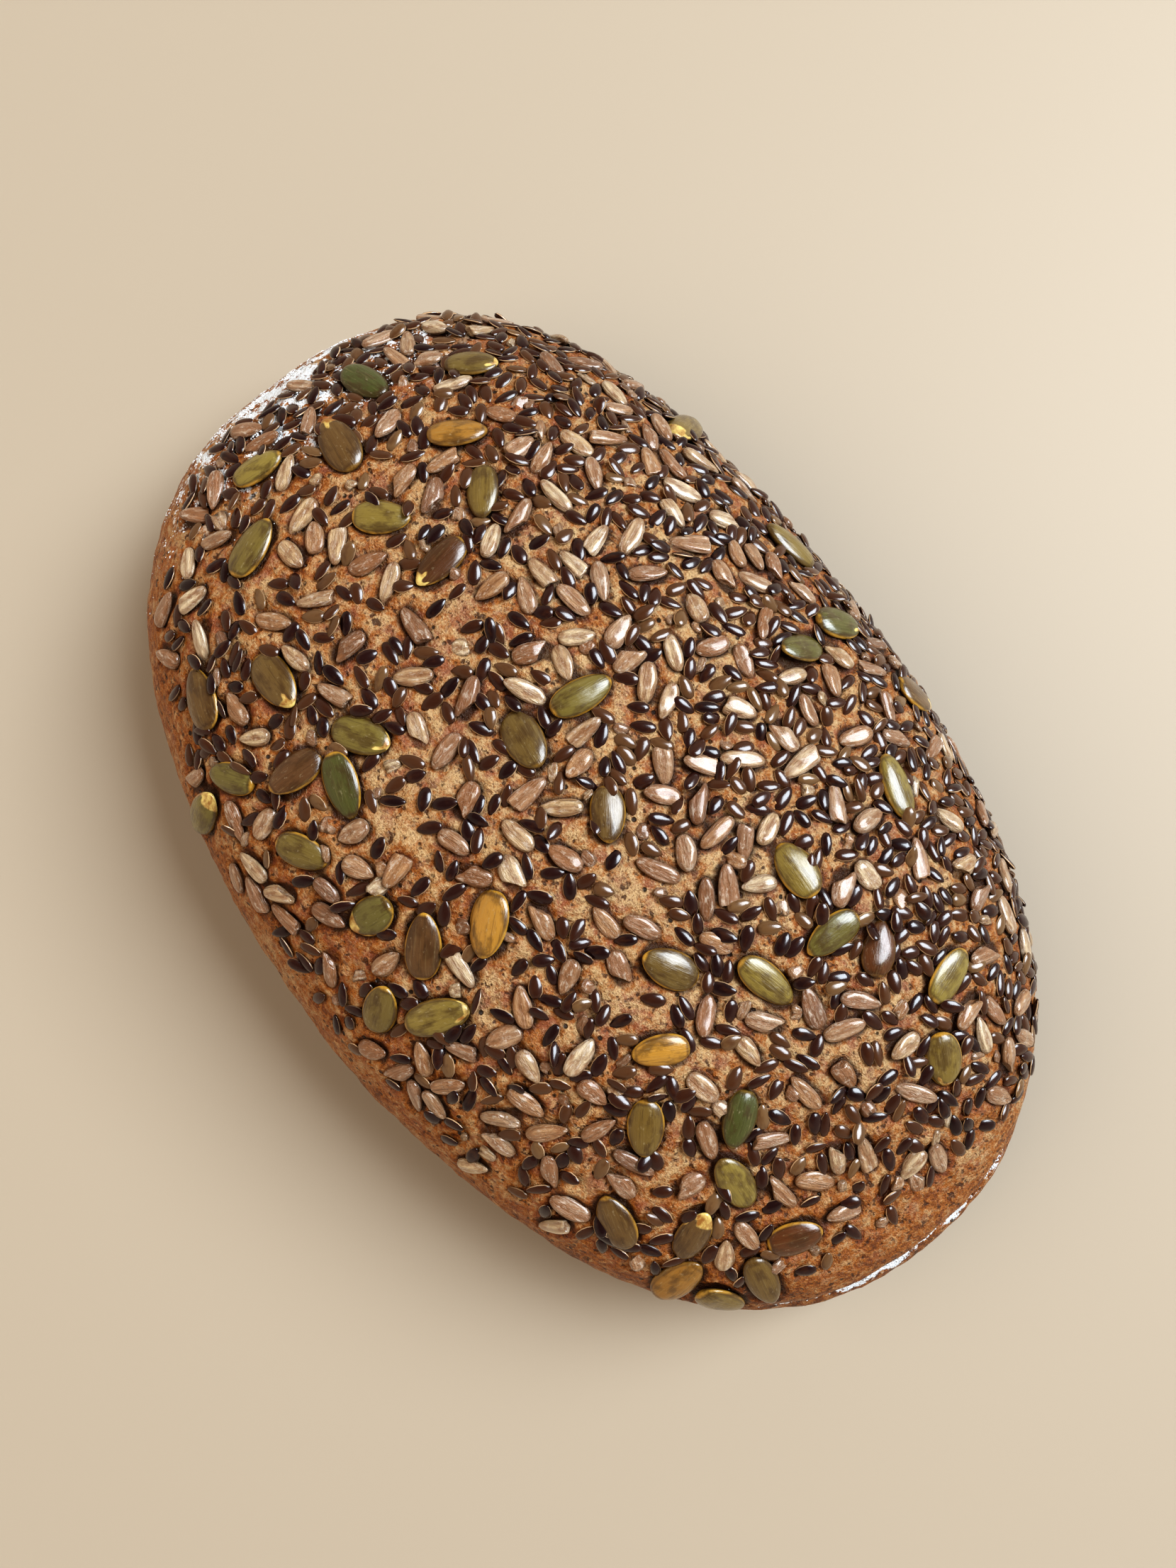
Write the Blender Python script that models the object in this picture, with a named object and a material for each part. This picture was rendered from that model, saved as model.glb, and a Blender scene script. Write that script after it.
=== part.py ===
"""Seeded multigrain loaf: an oval loaf baked straight on the oven floor, whole and uncut.

The dough was shaped by hand, and pumpkin kernels, sunflower kernels and linseeds were pressed
into its skin, so the baked loaf and its kernels are one solid. Metres, +Z up. The origin is on the
underside, below the middle of the loaf. +X is the end with the creased foot, +Y the flank that was
rolled deepest in seeds.
"""

import math
import random

import bmesh
import bpy
import numpy as np
from mathutils import Matrix, Vector

HALF_LENGTH = 0.1240
HALF_WIDTH = 0.0772
HEIGHT = 0.0615
WAIST_HEIGHT = 0.020  # where the loaf is widest

# The outline is a full oval: a power of 2 is an ellipse, and more is squarer.
OUTLINE_POWER = 2.3
# Where hand shaping left it fuller or slimmer: azimuth from +X in degrees, and share of the radius.
BULGES = ((150, 0.030), (185, -0.011), (230, -0.009), (310, -0.030), (335, -0.018))
BULGE_SPREAD = 20.0

# The dome over the waist, which slopes more gently at the creased +X end.
DOME_POWER = 2.2
END_DOME_POWER = 1.9
END_SPREAD = 30.0

# The outline's middle, set so that the loaf with its kernels stands centred on the origin.
MIDDLE_X = -0.0001
MIDDLE_Y = -0.0011

# Below the waist the side rounds in to the flat underside.
BASE_SHARE = 0.86
BASE_EDGE = math.radians(35)

# The crease over the foot, where the dough spread at the +X end: centre and spread in degrees.
CREASE_AT = -2.0
CREASE_SPREAD = 26.0
CREASE_HEIGHT = 0.0265
CREASE_HALF_WIDTH = 0.0035
CREASE_DEPTH = 0.0030

# The skin's slow swells.
SWELL = 0.0007
RIPPLE = 0.0004

# Kernels: length, width and thickness of a middling one, how far sizes vary, how much of the
# thickness stands proud of the crust, and how much of the room between two of them they need.
# taper narrows the tip, and the outline has this many sides, up to a flat or crowned top.
PUMPKIN = {
    "name": "pumpkin",
    "size": (0.0130, 0.0076, 0.0030),
    "vary": 0.11,
    "proud": 0.62,
    "room": 1.0,
    "sides": 8,
    "taper": 0.12,
    "crown": 0.28,
    "colour": (0.16, 0.13, 0.03),
}
SUNFLOWER = {
    "name": "sunflower",
    "size": (0.0083, 0.0041, 0.0026),
    "vary": 0.14,
    "proud": 0.60,
    "room": 0.95,
    "sides": 6,
    "taper": 0.28,
    "crown": 0.0,
    "colour": (0.42, 0.27, 0.15),
}
SHOULDER_SHARE = 0.82  # the top's outline, as a share of the kernel's
LEAN = math.radians(6)  # how far off flat the kernels lie

# Pumpkin kernels lie in loose groups: how many, the group's middle, and its reach along X and Y.
PUMPKIN_GROUPS = (
    (9, -0.082, 0.009, 0.027, 0.034),
    (8, -0.043, -0.047, 0.026, 0.021),
    (3, -0.002, 0.004, 0.030, 0.012),
    (4, 0.022, 0.058, 0.030, 0.016),
    (5, 0.010, -0.047, 0.026, 0.018),
    (5, 0.062, 0.028, 0.032, 0.018),
    (5, 0.056, -0.014, 0.018, 0.022),
    (7, 0.084, -0.030, 0.020, 0.020),
    (2, -0.040, 0.070, 0.030, 0.010),
)
GROUP_EDGE = 0.96  # no group reaches past this share of the outline
SUNFLOWER_COUNT = 262
SEED = 11

# Seeds stop at a height that falls from the bare -Y side to the +Y flank, over this many degrees.
SEEDED_FLANK = 95.0
LOW_SEEDS = 0.013
HIGH_SEEDS = 0.041
RISE_FROM = 38.0
RISE_TO = 88.0
SEEDS_FADE = 0.005

CRUST_CELLS = 12  # cells along a side of the cube that the crust is rounded from
WIDEST_STEP = 0.0085  # the most skin area that a radian each way covers, in square metres
SCRAP = 2e-6  # corners nearer than this are one


def azimuth_window(azimuth, at, spread):
    """1 at an azimuth, in degrees, falling to 0 around it."""
    away = (np.degrees(azimuth) - at + 180) % 360 - 180
    return np.exp(-((away / spread) ** 2))


def outline_reach(azimuth):
    """The waist's radius."""
    along = np.abs(np.cos(azimuth)) / HALF_LENGTH
    across = np.abs(np.sin(azimuth)) / HALF_WIDTH
    reach = (along**OUTLINE_POWER + across**OUTLINE_POWER) ** (-1 / OUTLINE_POWER)
    for at, share in BULGES:
        reach = reach * (1 + share * azimuth_window(azimuth, at, BULGE_SPREAD))
    return reach


def crust(azimuth, elevation):
    """Points of the crust, by azimuth and by elevation: 90 degrees is the crown, 0 the waist."""
    up = np.clip(elevation, 0, np.pi / 2)
    down = np.clip(-elevation / BASE_EDGE, 0, 1) * np.pi / 2
    under = np.clip((-elevation - BASE_EDGE) / (np.pi / 2 - BASE_EDGE), 0, 1)
    softer = azimuth_window(azimuth, 0, END_SPREAD)
    power = 2 / (DOME_POWER + (END_DOME_POWER - DOME_POWER) * softer)
    dome_share = np.clip(np.cos(up), 0, 1) ** power
    round_share = BASE_SHARE + (1 - BASE_SHARE) * np.cos(down)
    z = WAIST_HEIGHT * (1 - np.sin(down)) + (HEIGHT - WAIST_HEIGHT) * np.sin(up) ** power
    radius = outline_reach(azimuth) * dome_share * round_share * (1 - under)
    level = np.exp(-(((z - CREASE_HEIGHT) / CREASE_HALF_WIDTH) ** 2))
    radius = radius - CREASE_DEPTH * level * azimuth_window(azimuth, CREASE_AT, CREASE_SPREAD)
    x = MIDDLE_X + radius * np.cos(azimuth)
    y = MIDDLE_Y + radius * np.sin(azimuth)
    swell = SWELL * np.sin(x / 0.019 + 0.6) * np.cos(y / 0.016 + 1.1)
    swell = swell + RIPPLE * np.sin(x / 0.009 - y / 0.011)
    return np.stack([x, y, z + swell * np.clip(elevation / 0.4, 0, 1)], axis=-1)


def skin_frame(azimuth, elevation):
    """A point of the crust, its outward normal, and the skin area that one such step covers."""
    step = 1e-3
    here = crust(azimuth, elevation)
    round_step = (crust(azimuth + step, elevation) - here) / step
    up_step = (crust(azimuth, elevation + step) - here) / step
    normal = np.cross(round_step, up_step)
    area = np.linalg.norm(normal)
    return Vector(here), Vector(normal / max(area, 1e-12)), area


def seeds_reach(azimuth, z):
    """How seeded the skin is at this height: 1 above the seeds' edge, fading to 0 below it."""
    away = abs((math.degrees(azimuth) - SEEDED_FLANK + 180) % 360 - 180)
    turn = min(max((away - RISE_FROM) / (RISE_TO - RISE_FROM), 0), 1)
    edge = LOW_SEEDS + (HIGH_SEEDS - LOW_SEEDS) * turn * turn * (3 - 2 * turn)
    return min(max((z - edge) / SEEDS_FADE + 0.5, 0), 1)


class Seeding:
    """Kernels pressed in one by one, each where it finds room among those before it."""

    def __init__(self, seed):
        self.draw = random.Random(seed)
        self.ends = np.zeros((0, 3, 3))
        self.radii = np.zeros(0)

    def press(self, kind, azimuth, elevation):
        """Lays one kernel flat on the skin here, or returns None where others are in the way."""
        place, normal, _ = skin_frame(azimuth, elevation)
        turn = self.draw.uniform(0, 2 * math.pi)
        size = [side * (1 + kind["vary"] * self.draw.uniform(-1, 1)) for side in kind["size"]]
        lean = [self.draw.gauss(0, LEAN), self.draw.gauss(0, LEAN)]
        across = normal.orthogonal().normalized()
        along = (Matrix.Rotation(turn, 3, normal) @ across).normalized()
        core = (size[0] - size[1]) / 2
        ends = np.array([place - along * core, place, place + along * core])
        if len(self.radii):
            gaps = np.linalg.norm(self.ends[:, :, None] - ends[None, None], axis=-1)
            if (gaps.min(axis=(1, 2)) < (self.radii + size[1] / 2) * kind["room"]).any():
                return None
        self.ends = np.concatenate([self.ends, ends[None]])
        self.radii = np.append(self.radii, size[1] / 2)
        side = normal.cross(along)
        pose = Matrix((along, side, normal)).transposed()
        pose = pose @ Matrix.Rotation(lean[0], 3, "X") @ Matrix.Rotation(lean[1], 3, "Y")
        return place, pose, size

    def group(self, kind, count, x, y, reach_x, reach_y):
        """Scatters kernels over an oval patch of the top, seen from above."""
        laid = []
        for _ in range(count * 60):
            if len(laid) == count:
                break
            turn = self.draw.uniform(0, 2 * math.pi)
            out = math.sqrt(self.draw.random())
            goal_x = x + reach_x * out * math.cos(turn)
            goal_y = y + reach_y * out * math.sin(turn)
            azimuth = math.atan2(goal_y, goal_x)
            share = math.hypot(goal_x, goal_y) / float(outline_reach(azimuth))
            if share < GROUP_EDGE:
                elevation = math.acos(share ** (DOME_POWER / 2))
                kernel = self.press(kind, azimuth, elevation)
                if kernel:
                    laid.append(kernel)
        return laid

    def cover(self, kind, count, thickness_of):
        """Scatters kernels over the whole seeded skin, as thickly as thickness_of says there."""
        laid = []
        for _ in range(count * 200):
            if len(laid) == count:
                break
            azimuth = self.draw.uniform(-math.pi, math.pi)
            elevation = self.draw.uniform(-0.4, math.pi / 2)
            chance = self.draw.random()
            place, _, area = skin_frame(azimuth, elevation)
            wanted = thickness_of(place) * seeds_reach(azimuth, place.z)
            if chance < wanted * area / WIDEST_STEP:
                kernel = self.press(kind, azimuth, elevation)
                if kernel:
                    laid.append(kernel)
        return laid


def sunflower_thickness(place):
    """Sunflower kernels lie thickest along the -Y side towards +X, and thinner near the +X end."""
    crowd = math.exp(-(((place.x - 0.02) / 0.05) ** 2) - ((place.y + 0.055) / 0.022) ** 2)
    thin = math.exp(-(((place.x - 0.09) / 0.03) ** 2) - ((place.y - 0.02) / 0.03) ** 2)
    return 0.62 + 0.38 * crowd - 0.25 * thin


def kernel_lump(name, kind, size):
    """A low kernel: a pointed outline raised to a smaller top. +X is its tip."""
    length, width, thickness = size
    form = bmesh.new()
    bmesh.ops.create_circle(form, cap_ends=True, segments=kind["sides"], radius=0.5)
    for corner in form.verts:
        narrowed = 1 - 2 * kind["taper"] * corner.co.x
        corner.co = Vector((corner.co.x * length, corner.co.y * width * narrowed, -thickness / 2))
    raised = bmesh.ops.extrude_face_region(form, geom=list(form.faces))["geom"]
    top = [face for face in raised if isinstance(face, bmesh.types.BMFace)]
    shoulder_height = thickness * (0.5 - kind["crown"])
    for corner in top[0].verts:
        corner.co.z = shoulder_height
    bmesh.ops.scale(form, vec=(SHOULDER_SHARE, SHOULDER_SHARE, 1), verts=top[0].verts)
    if kind["crown"]:
        bmesh.ops.poke(form, faces=top, offset=thickness * kind["crown"])
    bmesh.ops.recalc_face_normals(form, faces=form.faces)
    mesh = bpy.data.meshes.new(name)
    form.to_mesh(mesh)
    form.free()
    return mesh


def finish(name, colour, roughness):
    material = bpy.data.materials.new(name)
    material.use_nodes = True
    shader = material.node_tree.nodes["Principled BSDF"]
    shader.inputs["Base Color"].default_value = (*colour, 1.0)
    shader.inputs["Roughness"].default_value = roughness
    return material


def bake_crust():
    """The loaf's body: a finely divided cube whose points move out to the crust."""
    form = bmesh.new()
    bmesh.ops.create_cube(form, size=2.0)
    bmesh.ops.subdivide_edges(form, edges=list(form.edges), cuts=CRUST_CELLS - 1, use_grid_fill=True)
    for corner in form.verts:
        # Even angles, not even steps along the cube, keep the cells alike in size.
        way = Vector([math.tan(side * math.pi / 4) for side in corner.co]).normalized()
        azimuth = math.atan2(way.y, way.x)
        corner.co = crust(azimuth, math.asin(min(max(way.z, -1), 1)))
    flat = [face for face in form.faces if all(corner.co.z < 1e-6 for corner in face.verts)]
    bmesh.ops.dissolve_faces(form, faces=flat)
    bmesh.ops.recalc_face_normals(form, faces=form.faces)
    mesh = bpy.data.meshes.new("loaf")
    form.to_mesh(mesh)
    form.free()
    mesh.materials.append(finish("baked crust", (0.30, 0.16, 0.075), 0.75))
    loaf = bpy.data.objects.new("loaf", mesh)
    bpy.context.scene.collection.objects.link(loaf)
    return loaf


def lay_kernels(basket, kind, laid):
    """Makes an object for each kernel that was pressed in, and puts it in the basket."""
    material = finish(kind["name"], kind["colour"], 0.45)
    for number, (place, pose, size) in enumerate(laid):
        mesh = kernel_lump(f"{kind['name']}_{number}", kind, size)
        mesh.materials.append(material)
        kernel = bpy.data.objects.new(mesh.name, mesh)
        proud = pose.col[2] * size[2] * (kind["proud"] - 0.5)
        kernel.matrix_world = Matrix.Translation(place + proud) @ pose.to_4x4()
        basket.objects.link(kernel)


def fuse(loaf, basket):
    """Joins the kernels to the loaf, and fills what the join seals off."""
    join = loaf.modifiers.new("kernels", "BOOLEAN")
    join.operation = "UNION"
    join.operand_type = "COLLECTION"
    join.collection = basket
    join.solver = "EXACT"
    graph = bpy.context.evaluated_depsgraph_get()
    whole = bpy.data.meshes.new_from_object(loaf.evaluated_get(graph))
    loaf.modifiers.clear()
    loaf.data = whole
    for kernel in list(basket.objects):
        bpy.data.objects.remove(kernel)
    bpy.data.collections.remove(basket)
    keep_outer_skin(whole)


def keep_outer_skin(mesh):
    """Keeps the largest connected surface, so that hollows fill and loose scraps go."""
    form = bmesh.new()
    form.from_mesh(mesh)
    bmesh.ops.remove_doubles(form, verts=form.verts, dist=SCRAP)
    waiting = set(form.verts)
    skins = []
    while waiting:
        front = [waiting.pop()]
        skin = set(front)
        while front:
            for edge in front.pop().link_edges:
                near = waiting.intersection(edge.verts)
                waiting -= near
                skin |= near
                front.extend(near)
        skins.append(skin)
    outer = max(skins, key=len)
    loose = [corner for skin in skins if skin is not outer for corner in skin]
    bmesh.ops.delete(form, geom=loose, context="VERTS")
    bmesh.ops.triangulate(form, faces=form.faces)
    form.to_mesh(mesh)
    form.free()


def main():
    for item in list(bpy.data.objects):
        bpy.data.objects.remove(item)
    loaf = bake_crust()
    basket = bpy.data.collections.new("kernels")
    bpy.context.scene.collection.children.link(basket)
    seeding = Seeding(SEED)
    pumpkins = []
    for patch in PUMPKIN_GROUPS:
        pumpkins += seeding.group(PUMPKIN, *patch)
    sunflowers = seeding.cover(SUNFLOWER, SUNFLOWER_COUNT, sunflower_thickness)
    lay_kernels(basket, PUMPKIN, pumpkins)
    lay_kernels(basket, SUNFLOWER, sunflowers)
    fuse(loaf, basket)
    loaf.data.shade_smooth()
    loaf.data.set_sharp_from_angle(angle=math.radians(40))


main()
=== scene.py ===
import math
import random

import bmesh
import bpy
import numpy as np
from mathutils import Matrix, Vector, kdtree, noise


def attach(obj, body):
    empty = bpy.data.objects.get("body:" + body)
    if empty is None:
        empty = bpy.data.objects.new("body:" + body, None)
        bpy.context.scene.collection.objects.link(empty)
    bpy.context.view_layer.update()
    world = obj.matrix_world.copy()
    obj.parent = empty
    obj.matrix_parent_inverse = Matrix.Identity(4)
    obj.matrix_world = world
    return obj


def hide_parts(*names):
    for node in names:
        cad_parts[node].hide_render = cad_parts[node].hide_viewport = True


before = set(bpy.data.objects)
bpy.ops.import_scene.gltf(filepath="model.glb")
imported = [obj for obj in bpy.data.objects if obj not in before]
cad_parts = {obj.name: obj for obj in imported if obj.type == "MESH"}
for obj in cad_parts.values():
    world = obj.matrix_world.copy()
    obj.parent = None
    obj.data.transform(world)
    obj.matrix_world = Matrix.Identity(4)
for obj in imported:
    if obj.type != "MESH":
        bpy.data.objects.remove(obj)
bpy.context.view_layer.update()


# The view. The loaf is looked at from almost straight above, a hand's length over its crown, and
# turned so that its creased end lies to the lower right.
EYE = Vector((0.0144, -0.0111, 0.291))
LOAF_TURN = math.radians(53.2)
TIP_BACK = math.radians(5.0)
LENS = 27.05
FILM = 36.0
NEAREST_SEEN = 0.01

camera = bpy.data.objects.new("camera", bpy.data.cameras.new("camera"))
camera.data.lens = LENS
camera.data.sensor_width = FILM
camera.data.clip_start = NEAREST_SEEN
camera.matrix_world = (
    Matrix.Translation(EYE) @ Matrix.Rotation(LOAF_TURN, 4, "Z") @ Matrix.Rotation(TIP_BACK, 4, "X")
)
bpy.context.scene.collection.objects.link(camera)
bpy.context.scene.camera = camera


# The loaf's shape. The real loaf is a piece of dough rounded by hand into an oval, a little fuller
# at one end, that spread on the oven floor: a flat underside, a round waist, and a low dome over it.
# At the creased end the dough spread into a foot, and folded in above it.
HALF_LENGTH = 0.1240
HALF_WIDTH = 0.0772
HEIGHT = 0.0615
WAIST_HEIGHT = 0.020
OUTLINE_POWER = 2.3
BULGES = ((150, 0.030), (185, -0.011), (230, -0.009), (310, -0.030), (335, -0.018))
BULGE_SPREAD = 20.0
DOME_POWER = 2.2
END_DOME_POWER = 1.9
END_SPREAD = 30.0
MIDDLE_X = -0.0001
MIDDLE_Y = -0.0011
BASE_SHARE = 0.86
BASE_EDGE = math.radians(35)
CREASE_AT = -2.0
CREASE_SPREAD = 26.0
CREASE_HEIGHT = 0.0265
CREASE_HALF_WIDTH = 0.0035
CREASE_DEPTH = 0.0030
SWELL = 0.0007
RIPPLE = 0.0004
PUFF = (0.0085, 0.00034)  # how wide, and how high
LUMP = (0.0034, 0.00024)


def azimuth_window(azimuth, at, spread):
    """1 at an azimuth, in degrees, falling to 0 around it."""
    away = (np.degrees(azimuth) - at + 180) % 360 - 180
    return np.exp(-((away / spread) ** 2))


def outline_reach(azimuth):
    """The waist's radius."""
    along = np.abs(np.cos(azimuth)) / HALF_LENGTH
    across = np.abs(np.sin(azimuth)) / HALF_WIDTH
    reach = (along**OUTLINE_POWER + across**OUTLINE_POWER) ** (-1 / OUTLINE_POWER)
    for at, share in BULGES:
        reach = reach * (1 + share * azimuth_window(azimuth, at, BULGE_SPREAD))
    return reach


def crust(azimuth, elevation):
    """Points of the crust, by azimuth and by elevation: 90 degrees is the crown, 0 the waist."""
    up = np.clip(elevation, 0, np.pi / 2)
    down = np.clip(-elevation / BASE_EDGE, 0, 1) * np.pi / 2
    under = np.clip((-elevation - BASE_EDGE) / (np.pi / 2 - BASE_EDGE), 0, 1)
    softer = azimuth_window(azimuth, 0, END_SPREAD)
    power = 2 / (DOME_POWER + (END_DOME_POWER - DOME_POWER) * softer)
    dome_share = np.clip(np.cos(up), 0, 1) ** power
    round_share = BASE_SHARE + (1 - BASE_SHARE) * np.cos(down)
    z = WAIST_HEIGHT * (1 - np.sin(down)) + (HEIGHT - WAIST_HEIGHT) * np.sin(up) ** power
    radius = outline_reach(azimuth) * dome_share * round_share * (1 - under)
    level = np.exp(-(((z - CREASE_HEIGHT) / CREASE_HALF_WIDTH) ** 2))
    radius = radius - CREASE_DEPTH * level * azimuth_window(azimuth, CREASE_AT, CREASE_SPREAD)
    x = MIDDLE_X + radius * np.cos(azimuth)
    y = MIDDLE_Y + radius * np.sin(azimuth)
    swell = SWELL * np.sin(x / 0.019 + 0.6) * np.cos(y / 0.016 + 1.1)
    swell = swell + RIPPLE * np.sin(x / 0.009 - y / 0.011)
    return np.stack([x, y, z + swell * np.clip(elevation / 0.4, 0, 1)], axis=-1)


def skin_relief(point):
    """How far the baked skin stands over the shaped dough: slow puffs, and lumps of wholegrain."""
    puffs = noise.noise(point / PUFF[0])
    lumps = noise.fractal(point / LUMP[0], 0.9, 2.1, 3)
    return PUFF[1] * puffs + LUMP[1] * lumps


# The seeding. The wet top of the dough was pressed into a tray of mixed kernels, so they lie flat on
# the skin wherever they found room: pumpkin kernels in loose groups, sunflower kernels all over, and
# linseeds in drifts, thickest on the +Y flank. The -Y side and the creased end stayed bare low down.
PUMPKIN = {"size": (0.0130, 0.0076, 0.0030), "vary": 0.11, "proud": 0.62, "room": 1.0, "lean": 6}
SUNFLOWER = {"size": (0.0083, 0.0041, 0.0026), "vary": 0.14, "proud": 0.60, "room": 0.95, "lean": 6}
LINSEED = {"size": (0.0051, 0.0028, 0.0012), "vary": 0.13, "proud": 0.78, "room": 0.66, "lean": 8}
STRAY = {"size": (0.0051, 0.0028, 0.0012), "vary": 0.13, "proud": 1.30, "room": 0.42, "lean": 17}
CHIP = {"size": (0.0036, 0.0027, 0.0014), "vary": 0.35, "proud": 0.66, "room": 0.62, "lean": 14}
PUMPKIN_GROUPS = (
    (9, -0.082, 0.009, 0.027, 0.034),
    (8, -0.043, -0.047, 0.026, 0.021),
    (3, -0.002, 0.004, 0.030, 0.012),
    (4, 0.022, 0.058, 0.030, 0.016),
    (5, 0.010, -0.047, 0.026, 0.018),
    (5, 0.062, 0.028, 0.032, 0.018),
    (5, 0.056, -0.014, 0.018, 0.022),
    (7, 0.084, -0.030, 0.020, 0.020),
    (2, -0.040, 0.070, 0.030, 0.010),
)
GROUP_EDGE = 0.96
SUNFLOWER_COUNT = 262
CHIP_TRIES = 800
LINSEED_TRIES = 90000
STRAY_TRIES = 9000
SEED = 11
SEEDED_FLANK = 95.0
LOW_SEEDS = 0.013
HIGH_SEEDS = 0.041
RISE_FROM = 38.0
RISE_TO = 88.0
SEEDS_FADE = 0.005
WIDEST_STEP = 0.0085  # the largest area that one step of azimuth and elevation covers
LOWEST_SEED = -0.4
SMALL_STEP = 1e-3


def skin_frame(azimuth, elevation):
    """A point of the crust, its outward normal, and the skin area that one such step covers."""
    here = crust(azimuth, elevation)
    round_step = (crust(azimuth + SMALL_STEP, elevation) - here) / SMALL_STEP
    up_step = (crust(azimuth, elevation + SMALL_STEP) - here) / SMALL_STEP
    normal = np.cross(round_step, up_step)
    area = np.linalg.norm(normal)
    return Vector(here), Vector(normal / max(area, 1e-12)), area


def seeds_reach(azimuth, z):
    """How seeded the skin is at this height: 1 above the seeds' edge, fading to 0 below it."""
    away = abs((math.degrees(azimuth) - SEEDED_FLANK + 180) % 360 - 180)
    turn = min(max((away - RISE_FROM) / (RISE_TO - RISE_FROM), 0), 1)
    edge = LOW_SEEDS + (HIGH_SEEDS - LOW_SEEDS) * turn * turn * (3 - 2 * turn)
    return min(max((z - edge) / SEEDS_FADE + 0.5, 0), 1)


class Seeding:
    """Kernels pressed in one by one, each where it finds room among those before it."""

    def __init__(self, seed):
        self.draw = random.Random(seed)
        self.ends = np.zeros((0, 3, 3))
        self.radii = np.zeros(0)

    def press(self, kind, azimuth, elevation):
        """Lays one kernel flat on the skin here, or returns None where others are in the way."""
        place, normal, _ = skin_frame(azimuth, elevation)
        turn = self.draw.uniform(0, 2 * math.pi)
        size = [side * (1 + kind["vary"] * self.draw.uniform(-1, 1)) for side in kind["size"]]
        lean = [self.draw.gauss(0, math.radians(kind["lean"])) for _ in range(2)]
        across = normal.orthogonal().normalized()
        along = (Matrix.Rotation(turn, 3, normal) @ across).normalized()
        core = (size[0] - size[1]) / 2
        ends = np.array([place - along * core, place, place + along * core])
        if len(self.radii):
            gaps = np.linalg.norm(self.ends[:, :, None] - ends[None, None], axis=-1)
            if (gaps.min(axis=(1, 2)) < (self.radii + size[1] / 2) * kind["room"]).any():
                return None
        self.ends = np.concatenate([self.ends, ends[None]])
        self.radii = np.append(self.radii, size[1] / 2)
        side = normal.cross(along)
        pose = Matrix((along, side, normal)).transposed()
        pose = pose @ Matrix.Rotation(lean[0], 3, "X") @ Matrix.Rotation(lean[1], 3, "Y")
        return place, pose, size

    def group(self, kind, count, x, y, reach_x, reach_y):
        """Scatters kernels over an oval patch of the top, seen from above."""
        laid = []
        for _ in range(count * 60):
            if len(laid) == count:
                break
            turn = self.draw.uniform(0, 2 * math.pi)
            out = math.sqrt(self.draw.random())
            goal_x = x + reach_x * out * math.cos(turn)
            goal_y = y + reach_y * out * math.sin(turn)
            azimuth = math.atan2(goal_y, goal_x)
            share = math.hypot(goal_x, goal_y) / float(outline_reach(azimuth))
            if share < GROUP_EDGE:
                elevation = math.acos(share ** (DOME_POWER / 2))
                kernel = self.press(kind, azimuth, elevation)
                if kernel:
                    laid.append(kernel)
        return laid

    def cover(self, kind, count, thickness_of):
        """Scatters kernels over the whole seeded skin, as thickly as thickness_of says there."""
        laid = []
        for _ in range(count * 200):
            if len(laid) == count:
                break
            azimuth = self.draw.uniform(-math.pi, math.pi)
            elevation = self.draw.uniform(LOWEST_SEED, math.pi / 2)
            chance = self.draw.random()
            place, _, area = skin_frame(azimuth, elevation)
            wanted = thickness_of(place) * seeds_reach(azimuth, place.z)
            if chance < wanted * area / WIDEST_STEP:
                kernel = self.press(kind, azimuth, elevation)
                if kernel:
                    laid.append(kernel)
        return laid

    def strew(self, kind, tries, thickness_of, seed):
        """As cover, for kernels by the thousand: all the tries are drawn at once, and none is counted."""
        spots = np.random.default_rng(seed).random((tries, 3)) * (2 * np.pi, np.pi / 2 - LOWEST_SEED, 1)
        azimuths = spots[:, 0] - np.pi
        elevations = spots[:, 1] + LOWEST_SEED
        here = crust(azimuths, elevations)
        round_step = (crust(azimuths + SMALL_STEP, elevations) - here) / SMALL_STEP
        up_step = (crust(azimuths, elevations + SMALL_STEP) - here) / SMALL_STEP
        areas = np.linalg.norm(np.cross(round_step, up_step), axis=1)
        chances = spots[:, 2] * WIDEST_STEP / areas
        laid = []
        for number in np.flatnonzero(chances < 1.2):
            azimuth = float(azimuths[number])
            place = Vector(here[number])
            if chances[number] < thickness_of(place) * seeds_reach(azimuth, place.z):
                kernel = self.press(kind, azimuth, float(elevations[number]))
                if kernel:
                    laid.append(kernel)
        return laid


def sunflower_thickness(place):
    """Sunflower kernels lie thickest along the -Y side towards +X, and thinner near the +X end."""
    crowd = math.exp(-(((place.x - 0.02) / 0.05) ** 2) - ((place.y + 0.055) / 0.022) ** 2)
    thin = math.exp(-(((place.x - 0.09) / 0.03) ** 2) - ((place.y - 0.02) / 0.03) ** 2)
    return 0.62 + 0.38 * crowd - 0.25 * thin


def linseed_thickness(place):
    """Linseeds lie in drifts, thickest on the +Y flank and where they slid to the -X tip."""
    drift = 0.55 + 1.3 * noise.noise(place / 0.010 + Vector((3.1, 0.4, 7.7)))
    flank = min(max((place.y - 0.010) / 0.035, 0), 1)
    tip = math.exp(-(((place.x + 0.108) / 0.012) ** 2) - ((place.y - 0.004) / 0.022) ** 2)
    bare = math.exp(-(((place.x + 0.02) / 0.06) ** 2) - ((place.y + 0.05) / 0.02) ** 2)
    return max(0.40 * min(max(drift, 0.05), 1) + 0.6 * flank + 0.9 * tip - 0.12 * bare, 0.02)


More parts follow.
